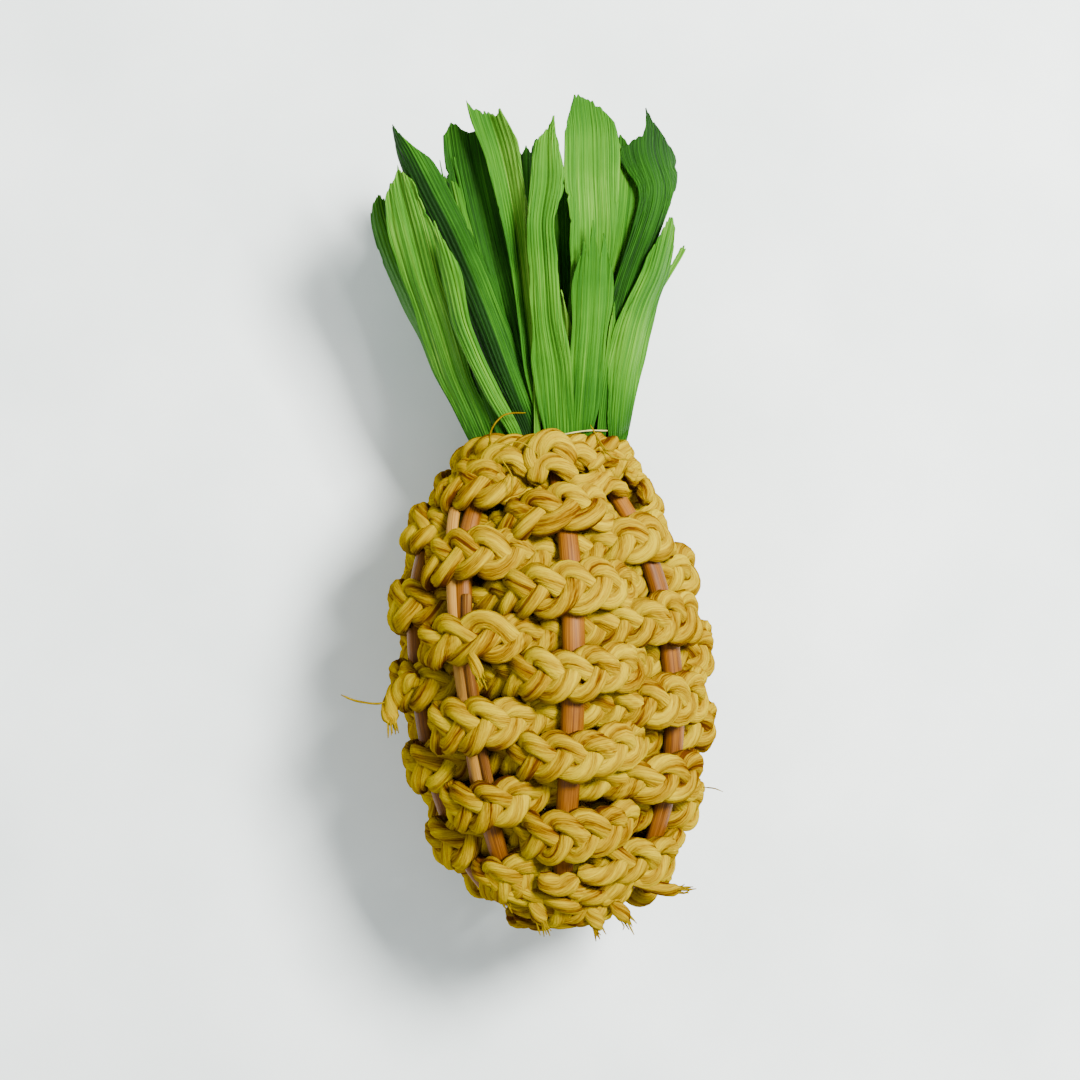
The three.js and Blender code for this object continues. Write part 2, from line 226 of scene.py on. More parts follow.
# ---- materials ----
def material(name):
    made = bpy.data.materials.new(name)
    made.use_nodes = True
    nodes = made.node_tree.nodes
    nodes.clear()
    output = nodes.new("ShaderNodeOutputMaterial")
    shader = nodes.new("ShaderNodeBsdfPrincipled")
    made.node_tree.links.new(shader.outputs[0], output.inputs[0])
    return made, nodes, made.node_tree.links, shader


def add_node(nodes, links, kind, settings=None, **inputs):
    node = nodes.new(kind)
    for key, value in (settings or {}).items():
        setattr(node, key, value)
    for key, value in inputs.items():
        socket = node.inputs[key.replace("_", " ")]
        if isinstance(value, bpy.types.NodeSocket):
            links.new(value, socket)
        else:
            socket.default_value = value
    return node


def ramp(nodes, links, value, stops):
    node = nodes.new("ShaderNodeValToRGB")
    links.new(value, node.inputs[0])
    elements = node.color_ramp.elements
    while len(elements) < len(stops):
        elements.new(0.5)
    for element, (at, colour) in zip(elements, stops):
        element.position = at
        element.color = colour
    return node.outputs[0]


def fibre_coordinates(nodes, links, scale):
    """The `fibre` attribute (along, round, tone with the painted shade and light in it), stretched so that
    noise runs in streaks.
    """
    attribute = add_node(nodes, links, "ShaderNodeAttribute", {"attribute_name": "fibre"})
    mapping = nodes.new("ShaderNodeVectorMath")
    mapping.operation = "MULTIPLY"
    links.new(attribute.outputs["Vector"], mapping.inputs[0])
    mapping.inputs[1].default_value = scale
    return attribute, mapping.outputs[0]


def scaled_sum(nodes, links, parts):
    """The sum of several values, each times its own share."""
    total = None
    for value, share in parts:
        node = add_node(nodes, links, "ShaderNodeMath", {"operation": "MULTIPLY_ADD"})
        links.new(value, node.inputs[0])
        node.inputs[1].default_value = share
        node.inputs[2].default_value = 0
        if total is not None:
            links.new(total, node.inputs[2])
        total = node.outputs[0]
    return total


def fibrous(name, stretch, streak_share, patch_scale, patch_share, stops, rough, bump, specular):
    """A dyed or natural plant fibre: streaks along the fibre, broad patches and the tone each piece
    carries, which holds its own colour and the painted shade and light laid on it.
    """
    made, nodes, links, shader = material(name)
    attribute, streaks = fibre_coordinates(nodes, links, stretch)
    split = add_node(nodes, links, "ShaderNodeSeparateXYZ", Vector=attribute.outputs["Vector"])
    fine = add_node(nodes, links, "ShaderNodeTexNoise", Vector=streaks, Scale=1, Detail=5, Roughness=0.62)
    object_space = add_node(nodes, links, "ShaderNodeTexCoord").outputs["Object"]
    patches = add_node(
        nodes, links, "ShaderNodeTexNoise", Vector=object_space, Scale=patch_scale, Detail=3, Roughness=0.5
    )
    toned = scaled_sum(nodes, links, [
        (fine.outputs[0], streak_share), (patches.outputs[0], patch_share), (split.outputs["Z"], 1),
    ])
    links.new(ramp(nodes, links, toned, stops), shader.inputs["Base Color"])
    roughness = add_node(
        nodes, links, "ShaderNodeMapRange", Value=fine.outputs[0], To_Min=rough[0], To_Max=rough[1]
    )
    links.new(roughness.outputs[0], shader.inputs["Roughness"])
    relief = add_node(
        nodes, links, "ShaderNodeBump", Strength=bump[0], Distance=bump[1], Height=fine.outputs[0]
    )
    links.new(relief.outputs[0], shader.inputs["Normal"])
    shader.inputs["Specular IOR Level"].default_value = specular
    return made


CORD = fibrous("dyed_cord", (0.30, 7, 1), 0.9, 95, 0.40, [
    (0.36, (0.080, 0.022, 0.0, 1)), (0.48, (0.165, 0.078, 0.0, 1)), (0.60, (0.25, 0.147, 0.0, 1)),
    (0.74, (0.33, 0.215, 0.0, 1)), (0.90, (0.42, 0.300, 0.0, 1)),
], (0.45, 0.75), (1.0, 0.0005), 0.0)
RATTAN = fibrous("rattan_skin", (0.06, 9, 1), 0.8, 60, 0.4, [
    (0.42, (0.050, 0.013, 0.0, 1)), (0.62, (0.165, 0.055, 0.001, 1)), (0.85, (0.32, 0.135, 0.005, 1)),
], (0.35, 0.6), (0.4, 0.0002), 0.16)
PEELED = fibrous("peeled_cane", (0.06, 6, 1), 0.9, 60, 0.4, [
    (0.42, (0.09, 0.03, 0.002, 1)), (0.62, (0.25, 0.115, 0.012, 1)), (0.88, (0.42, 0.235, 0.045, 1)),
], (0.45, 0.7), (0.6, 0.0003), 0.10)
HUSK = fibrous("dyed_husk", (0.030, 2.4, 1), 1.0, 70, 0.35, [
    (0.38, (0.003, 0.022, 0.001, 1)), (0.55, (0.009, 0.058, 0.002, 1)), (0.70, (0.021, 0.112, 0.004, 1)),
    (0.85, (0.052, 0.185, 0.008, 1)), (1.0, (0.125, 0.285, 0.025, 1)),
], (0.45, 0.7), (1.0, 0.0004), 0.08)
THREAD = fibrous("fine_thread", (3, 8, 1), 0.6, 70, 0.4, [
    (0.3, (0.20, 0.19, 0.03, 1)), (0.7, (0.48, 0.44, 0.15, 1)),
], (0.5, 0.7), (0.2, 0.0001), 0.2)


def stands_for(piece, slot, *nodes):
    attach(piece, "root")
    if nodes:
        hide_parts(*nodes)
    return piece


# ---- the ribs ----
WOVEN_LIFT = 1.0  # the ribs and the weave sit this much further out than the CAD ribs


def cane(name, slot, nodes, centre, out, radius, finish, seed, tone=0.0):
    """A rod along centre, a little uneven, its section slightly flattened towards the inside."""
    corners = 28
    forward = unit(np.gradient(centre, axis=0))
    out = unit(out - forward * (out * forward).sum(axis=-1, keepdims=True))
    side = np.cross(forward, out)
    run = run_along(centre)
    turn = np.linspace(0, 2 * np.pi, corners, endpoint=False)
    uneven = 1 + 0.045 * Wander(seed, 9)(run)[:, None] * np.cos(turn + seed)
    ridges = 1 + 0.012 * np.cos(11 * turn + 0.05 * run[:, None]) + 0.008 * np.cos(17 * turn)
    reach = np.broadcast_to(radius, run.shape)[:, None] * uneven * ridges
    end = np.minimum(run, run[-1] - run)
    reach = reach * (0.86 + 0.14 * smooth(end, 0, 0.5))[:, None]
    rings = (
        centre[:, None]
        + side[:, None] * (reach * np.cos(turn))[..., None]
        + out[:, None] * (0.82 * reach * np.sin(turn))[..., None]
    )
    fibre = np.stack(np.broadcast_arrays(run[:, None], (turn + 7 * seed)[None, :], tone), axis=-1)
    points, faces, fibres = join_tubes([(rings, fibre)])
    return stands_for(new_mesh(name, points, faces, finish, fibres), slot, *nodes)


def run_along(path):
    return np.concatenate([[0], np.cumsum(np.linalg.norm(np.diff(path, axis=0), axis=1))])


def meridian(rib, low, high, across=0.0, lift=WOVEN_LIFT, steps=150):
    s = np.linspace(low, high, steps)
    share, point, up, out = profile_at(s)
    azimuth = rib_azimuth(rib, point[:, 1])
    centre = around(azimuth, point[:, 0] + lift * out[:, 0], point[:, 1] + lift * out[:, 1])
    turn = np.radians(azimuth)
    sideways = np.stack([np.cos(turn), np.sin(turn), 0 * turn], axis=-1)
    outward = np.stack([out[:, 0] * np.sin(turn), -out[:, 0] * np.cos(turn), out[:, 1]], axis=-1)
    return centre + sideways * across, outward, rib_radius(share)


def length_at_height(height):
    return float(np.interp(height, PROFILE_POINTS[:, 1], PROFILE_RUN))


def bowed(stops, steps=150):
    """Values that pass through evenly spaced stops."""
    stops = np.asarray(stops, float)[:, None]
    return catmull(stops, np.linspace(0, 1, steps))[:, 0]


RIB_TOP = length_at_height(92.4)
for rib in range(len(RIB_AZIMUTHS)):
    centre, outward, radius = meridian(rib, 0, RIB_TOP)
    name = f"rib_{rib + 1}"
    cane(f"rattan_{name}", "rattan", [name], centre, outward, radius, RATTAN, SEED + rib)
for name, (beside, low, high, across, lift, radius, tone) in SPLINTS.items():
    span = (length_at_height(low), length_at_height(high))
    centre, outward, _ = meridian(beside, *span, across=bowed(across)[:, None], lift=lift)
    cane(f"peeled_{name}", "peeled_cane", [name], centre, outward, radius, PEELED, SEED + 40 + low, tone)


# ---- the plaited cord ----
PLAIT_PERIOD = 17.4  # one strand's way across and back
STRAND_RADIUS = 1.95
STRAND_SWAY = 2.25  # how far a strand's middle goes to each side of the plait's
STRAND_LIFT = 0.9
STRAND_CORNERS = 26
STRAND_STEP = 0.55
WEAVE_DEPTH = 3.7  # of the cord's middle, in and out


def strand_rings(path, out, radius, seed, tone, fatter=0.0, corners=STRAND_CORNERS):
    """A loosely twisted strand: soft plies turning slowly round its path."""
    forward = unit(np.gradient(path, axis=0))
    out = unit(out - forward * (out * forward).sum(axis=-1, keepdims=True))
    side = np.cross(forward, out)
    run = run_along(path)
    turn = np.linspace(0, 2 * np.pi, corners, endpoint=False)
    twist = 2 * np.pi * run / 26 + 1.5 * Wander(seed, 12)(run)
    ply = turn[None, :] - twist[:, None]
    plies = (
        0.87 + 0.18 * np.abs(np.cos(1.5 * ply + seed)) ** 0.7
        + 0.034 * np.cos(8 * ply + seed) + 0.018 * np.cos(11 * ply + 2 * Wander(seed + 6, 9)(run)[:, None])
    )
    lumps = 1 + 0.09 * Wander(seed + 1, 6)(run) + fatter
    reach = radius * lumps[:, None] * plies
    end = np.minimum(run, run[-1] - run)
    reach = reach * (0.45 + 0.55 * smooth(end, 0, 1.6))[:, None]
    rings = (
        path[:, None]
        + side[:, None] * (reach * 1.05 * np.cos(turn))[..., None]
        + out[:, None] * (reach * 0.88 * np.sin(turn))[..., None]
    )
    shade = tone + 0.12 * Wander(seed + 2, 8)(run)
    # painted shade: the side of each strand that faces its neighbours and the grooves between its plies are
    # darker, the crowns of the plies lighter
    painted_crevice_shade = 1 - smooth(np.sin(turn), -0.1, 0.75)  # the side that faces its neighbours is darker
    painted_groove_shade = 1.8 * (plies - 0.99) - 0.22 * painted_crevice_shade[None, :]
    fibre = np.stack(np.broadcast_arrays(
        run[:, None] + 31 * seed, (ply + seed) * 0.9, (shade[:, None] + painted_groove_shade)
    ), axis=-1)
    return rings, fibre


def plait_parts(centre, across, spread, seed, period=PLAIT_PERIOD, radius=STRAND_RADIUS):
    """The three strands of a plait whose middle follows centre, flat along `across`."""
    forward = unit(np.gradient(centre, axis=0))
    across = unit(across - forward * (across * forward).sum(axis=-1, keepdims=True))
    out = np.cross(forward, across)
    run = run_along(centre)
    phase = 2 * np.pi * run / period + 1.3 * Wander(seed, 30)(run)
    parts = []
    for strand in range(3):
        own = phase + 2 * np.pi * strand / 3
        key = seed * 10 + strand
        sway = STRAND_SWAY * spread * (1 + 0.14 * Wander(key + 3, 14)(run))
        lift = STRAND_LIFT * (1 + 0.2 * Wander(key + 4, 11)(run))
        path = (
            centre
            + across * (sway * np.sin(own) + 0.35 * Wander(key + 5, 6)(run))[:, None]
            - out * (lift * np.sin(2 * own) + 0.2 * Wander(key + 7, 8)(run))[:, None]
        )
        size = radius * (1 + 0.06 * math.sin(key * 2.1))
        fatter = -0.10 * np.sin(2 * own)
        parts.append(strand_rings(path, -out, size, key, 0.05 * math.sin(key * 1.7), fatter))
    return parts


def press_on_floor(points):
    """What would sink into the floor is pressed flat on it."""
    lowest = AXIS_Z / MM - 0.02
    points[:, 1] = np.minimum(points[:, 1], lowest)
    return points


def cord_piece(name, nodes, parts):
    points, faces, fibres = join_tubes(parts)
    points = press_on_floor(points)
    return stands_for(new_mesh(name, points, faces, CORD, fibres), "plait", *nodes)


RIB_COUNT = len(RIB_AZIMUTHS)
WEAVE_TOP = PROFILE_LENGTH - FIRST_CROSSING_FROM_TOP
CROSSINGS = math.floor((WEAVE_TOP - LAST_CROSSING_FROM_END) / PLAIT_PITCH * RIB_COUNT)


def plait_ends():
    ends = [0]
    for length in range(1, PLAIT_LENGTHS):
        ends.append(2 * round(CROSSINGS * length / PLAIT_LENGTHS / 2))
    return ends + [CROSSINGS]


def woven_path(first, last):
    """Middle of the cord between two crossings, the way up across it, and how far it spreads."""
    steps = int((last - first) * 16 / STRAND_STEP)
    crossing = np.linspace(first, last, steps)
    uneven = 0.55 * Wander(SEED, 2.3)(crossing) + 0.35 * Wander(SEED + 4, 0.9)(crossing)
    s = WEAVE_TOP - crossing * PLAIT_PITCH / RIB_COUNT + uneven
    share, point, up, out = profile_at(s)
    over = np.tanh(-1.5 * np.cos(np.pi * crossing)) / math.tanh(1.5)
    depth = WEAVE_DEPTH * (0.74 + 0.26 * swell(share))
    lift = WOVEN_LIFT + depth * over + 0.35 * Wander(SEED + 1, 1.7)(crossing)
    azimuth = crossing_azimuth(crossing, point[:, 1])
    centre = around(azimuth, point[:, 0] + lift * out[:, 0], point[:, 1] + lift * out[:, 1])
    turn = np.radians(azimuth)
    across = np.stack([up[:, 0] * np.sin(turn), -up[:, 0] * np.cos(turn), up[:, 1]], axis=-1)
    return centre, across, 1.26 + 0.24 * over + 0.10 * Wander(SEED + 6, 1.3)(crossing)


def woven_lengths(extras):
    ends = plait_ends()
    for index in range(PLAIT_LENGTHS):
        centre, across, spread = woven_path(ends[index] + 0.01, ends[index + 1] - 0.01)
        parts = plait_parts(centre, across, spread, SEED + 3 * index)
        cord_piece(f"cord_{index + 1}", [f"plait_{index + 1}"], parts + extras.get(index + 1, []))


def on_front(x, height, lift):
    """A place on the toy's front: sideways and upwards on it, and how far out of the rib surface."""
    radius = np.interp(height, PROFILE_POINTS[:, 1], PROFILE_POINTS[:, 0])
    radius = np.where(height > 90, NECK_RADIUS, radius) + lift
    away = np.clip(x / radius, -0.999, 0.999)
    return np.stack([x, -radius * np.sqrt(1 - away * away), height], axis=-1)


def loose_strand(stops, radius, seed, tone=0.0, corners=STRAND_CORNERS):
    """A strand through stops of (x, height, lift) on the toy's front."""
    length = run_along(np.asarray(stops, float))[-1]
    x, height, lift = catmull(stops, np.linspace(0, 1, max(12, int(length / 0.5)))).T
    path = on_front(x, height, lift)
    out = unit(path * [1, 1, 0])
    return strand_rings(path, out, radius, seed, tone, corners=corners)


def free_strand(stops, radius, seed, tone=0.0, corners=STRAND_CORNERS):
    """A strand through stops of (x, height, how far in front of the axis)."""
    length = run_along(np.asarray(stops, float))[-1]
    x, height, front = catmull(stops, np.linspace(0, 1, max(12, int(length / 0.5)))).T
    path = np.stack([x, -front, height], axis=-1)
    out = np.broadcast_to(np.array([0.0, -1.0, 0.0]), path.shape)
    return strand_rings(path, out, radius, seed, tone, corners=corners)


def hair(stops, seed, radius=0.13):
    return free_strand(stops, radius, seed, 0.12, corners=6)


def frayed(stops, radius, seed, count=9):
    """A cut end: a short strand, and thin fibres that stand out of its last stop."""
    random = np.random.default_rng(seed)
    before, end = np.asarray(stops[-2], float), np.asarray(stops[-1], float)
    ahead = (end - before) / np.linalg.norm(end - before)
    parts = [free_strand(stops, radius, seed)]
    for _ in range(count):
        start = end + random.uniform(-0.7, 0.7, 3) * radius
        tip = start + ahead * random.uniform(0.8, 2.2) + random.uniform(-0.6, 0.6, 3)
        parts.append(hair([start - ahead * 1.5, start, tip], seed + 1, 0.2))
    return parts


NECK_STRANDS = [  # radius, then stops of x, height and lift: the bunched end of the cord at the neck
    (1.9, [
        (-0.6, 91.2, 3.2), (0.2, 94.6, 3.6), (2.6, 97.0, 4.4), (4.9, 97.2, 4.6), (6.6, 94.8, 4.0),
        (6.9, 91.6, 2.6),
    ]),
    (1.9, [(-11.6, 91.4, 1.6), (-7.4, 95.2, 2.6), (-3.2, 94.2, 3.2), (-1.2, 90.8, 2.6)]),
    (1.8, [(-14.6, 88.6, 2.0), (-12.4, 92.4, 2.8), (-8.8, 92.6, 3.4), (-6.4, 90.6, 2.6)]),
    (1.8, [(-0.2, 88.8, 3.2), (2.2, 92.8, 4.0), (5.4, 92.4, 4.6), (7.8, 89.6, 3.2)]),
    (1.8, [(6.2, 94.6, 2.6), (9.4, 95.0, 3.2), (12.0, 92.2, 3.2), (12.6, 88.8, 2.0)]),
    (1.9, [(6.4, 88.6, 3.4), (10.6, 88.2, 4.2), (14.4, 89.6, 3.4), (17.2, 91.2, 2.4)]),
    (1.8, [(15.0, 89.4, 3.0), (18.0, 92.2, 3.6), (20.4, 90.6, 4.2), (19.6, 87.2, 3.6)]),
    (1.8, [(18.4, 90.4, 4.8), (21.8, 87.6, 5.8), (21.8, 84.2, 5.6)]),
    (1.8, [(-19.0, 86.0, 4.6), (-17.4, 89.6, 4.4), (-15.0, 89.8, 3.2)]),
    (1.6, [(10.6, 91.4, 3.6), (13.8, 93.2, 3.8), (17.0, 92.0, 3.0)]),
    (1.7, [(11.4, 85.8, 3.4), (14.8, 88.0, 4.2), (18.4, 86.0, 4.6)]),
]
NECK_HAIRS = [  # stops of x, height and how far in front of the axis
    [(-7.2, 94.6, 17.5), (-7.8, 99.6, 14.0), (-5.0, 103.0, 14.0), (-0.6, 103.2, 14.6)],
    [(-6.8, 95.6, 19.0), (-3.2, 97.4, 21.4), (0.0, 96.0, 21.6), (1.6, 94.0, 21.8)],
    [(-6.4, 94.8, 20.4), (-4.2, 91.0, 22.6), (-4.4, 87.4, 23.0)],
    [(13.4, 96.2, 14.6), (15.6, 93.4, 17.4), (19.6, 92.4, 14.0)],
    [(12.0, 100.0, 12.4), (14.2, 95.4, 17.0), (16.2, 94.4, 16.4)],
]
BASE_STRANDS = [  # radius, then stops of x, height and lift
    (2.0, [(-9.6, 12.6, 3.6), (-5.4, 8.6, 4.8), (-0.4, 7.0, 5.2), (4.6, 8.6, 4.4)]),
    (2.0, [(-14.0, 15.0, 4.2), (-11.6, 10.8, 5.0), (-7.2, 8.0, 4.8), (-3.4, 6.8, 3.6)]),
    (2.0, [(1.0, 10.6, 5.2), (5.8, 7.2, 5.0), (10.4, 8.2, 4.8), (13.8, 11.6, 3.8)]),
    (1.9, [(3.2, 13.0, 4.8), (8.2, 11.6, 5.6), (13.0, 13.4, 5.0)]),
    (1.9, [(-4.4, 12.6, 5.2), (-0.6, 10.4, 6.0), (3.4, 11.6, 5.4)]),
]
BASE_COILS = [  # radius, then stops of x, height and how far in front of the axis
    (2.0, [(-7.4, 6.4, 11.4), (-3.6, 3.6, 12.2), (1.2, 2.8, 12.6), (6.0, 3.8, 11.8)]),
    (2.0, [(-2.0, 4.8, 14.2), (2.6, 3.4, 14.0), (7.0, 4.4, 13.2), (10.6, 7.2, 11.0)]),
    (1.9, [(-11.2, 9.6, 12.0), (-8.6, 6.2, 13.2), (-4.8, 5.0, 14.2)]),
    (1.9, [(6.6, 6.8, 15.0), (10.6, 6.8, 13.4), (13.4, 9.6, 11.0)]),
]
BASE_ENDS = [  # the same, for cut ends that fray
    (1.5, [(-10.4, 13.6, 17.4), (-11.2, 10.4, 17.0), (-11.0, 7.8, 16.0)]),
    (1.6, [(-5.6, 8.6, 17.8), (-5.0, 5.4, 17.2), (-4.4, 2.6, 16.0)]),
    (1.5, [(4.6, 5.4, 16.4), (6.2, 2.4, 15.2), (6.8, 0.4, 14.2)]),
    (1.4, [(9.6, 5.6, 15.6), (11.6, 3.0, 14.2), (12.4, 1.4, 13.4)]),
]


def neck_loop():
    start, sweep = 190, 351  # degrees of azimuth, which leave the loop's two ends apart
    share = np.linspace(0, 1, 260)
    azimuth = start + sweep * share
    turn = np.radians(azimuth)
    height = (
        NECK_HEIGHT - 1.6 + 2.6 * np.cos(turn) - 0.8 * np.sin(turn)
        + 0.7 * Wander(SEED + 60, 0.07)(share)
    )
    centre = around(azimuth, NECK_RADIUS + 0.7 * Wander(SEED + 61, 0.08)(share), height)
    centre[:, 0] += NECK_X
    up = np.broadcast_to(np.array([0.0, 0.0, 1.0]), centre.shape)
    parts = plait_parts(centre, -up, 0.85, SEED + 62, period=14, radius=1.8)
    for index, (radius, stops) in enumerate(NECK_STRANDS):
        parts.append(loose_strand(stops, radius, SEED + 200 + index))
    for index, stops in enumerate(NECK_HAIRS):
        parts.append(hair(stops, SEED + 230 + index, 0.16))
    cord_piece("cord_neck_loop", ["neck_loop"], parts)


def base_coil():
    share = np.linspace(0, 1, 240)
    radius = COIL_OUTER + (COIL_INNER - COIL_OUTER) * np.maximum(0, share * 1.9 - 0.9)
    turn = np.radians(-360 * COIL_TURNS * share)
    centre = around(np.degrees(turn), radius, 2.3 + 0.3 * Wander(SEED + 70, 0.1)(share))
    outward = np.stack([np.sin(turn), -np.cos(turn), 0 * turn], axis=-1)
    parts = plait_parts(centre, outward, 0.85, SEED + 71, period=14, radius=1.7)
    for index, (strand_radius, stops) in enumerate(BASE_STRANDS):
        parts.append(loose_strand(stops, strand_radius, SEED + 300 + index))
    for index, (strand_radius, stops) in enumerate(BASE_COILS):
        parts.append(free_strand(stops, strand_radius, SEED + 310 + index))
    for index, (strand_radius, stops) in enumerate(BASE_ENDS):
        parts += frayed(stops, strand_radius, SEED + 320 + index)
    cord_piece("cord_base_coil", ["base_coil"], parts)


def loose_ends():
    """The frayed ends and hairs that stand out of the weave, by the length of cord they belong to."""
    left = frayed([
        (-25.4, 53.0, 17.0), (-29.6, 50.4, 13.0), (-31.6, 46.4, 11.0), (-31.2, 43.4, 11.0),
    ], 1.6, SEED + 90)
    left.append(hair([
        (-31.0, 48.4, 12.0), (-34.0, 47.8, 12.0), (-38.2, 48.6, 11.0), (-41.2, 50.0, 10.0),
    ], SEED + 91, 0.2))
    front = frayed([(-14.6, 57.6, 28.4), (-13.4, 54.6, 30.4), (-12.8, 52.2, 30.6)], 1.1, SEED + 95)
    right = frayed([
        (12.0, 11.0, 16.0), (16.6, 8.6, 13.0), (20.4, 7.0, 11.0), (23.6, 6.6, 10.0),
    ], 1.25, SEED + 93)
    right.append(hair([(29.4, 26.6, 10.0), (31.4, 26.4, 12.0), (33.2, 25.6, 12.0)], SEED + 94))
    return {3: left + front, 5: right}


woven_lengths(loose_ends())
neck_loop()
base_coil()


# ---- the crown ----
CROWN_PROFILE = np.array([  # height, half the width, half the depth, and the middle's x
    (84, 7.2, 7.2, 0.5), (90, 8.2, 8.2, 0.9), (93, 10.2, 9.4, 1.4), (96, 12.6, 10.4, 2.2),
    (99, 15.2, 11.0, 3.0), (104, 17.7, 12.2, 3.0), (112, 20.0, 14.0, 2.8), (125, 22.9, 17.0, 2.5),
    (140, 29.3, 20.0, 1.5), (165, 30.0, 21.0, 1.0),
])
CROWN_ROUNDNESS = 1.15
LAYER_STEP = 0.2
LEAF_FOOT_HEIGHT = 84
WIDER = 1.12  # the strips spread a little as they dry flat
LEAF_HALF_THICKNESS = 0.12
SLIVER_WIDTH = 3  # a strip no wider than this needs a coarser grid
BUNCHED_HEIGHTS = (96, 118)  # the leaves come free of each other between these
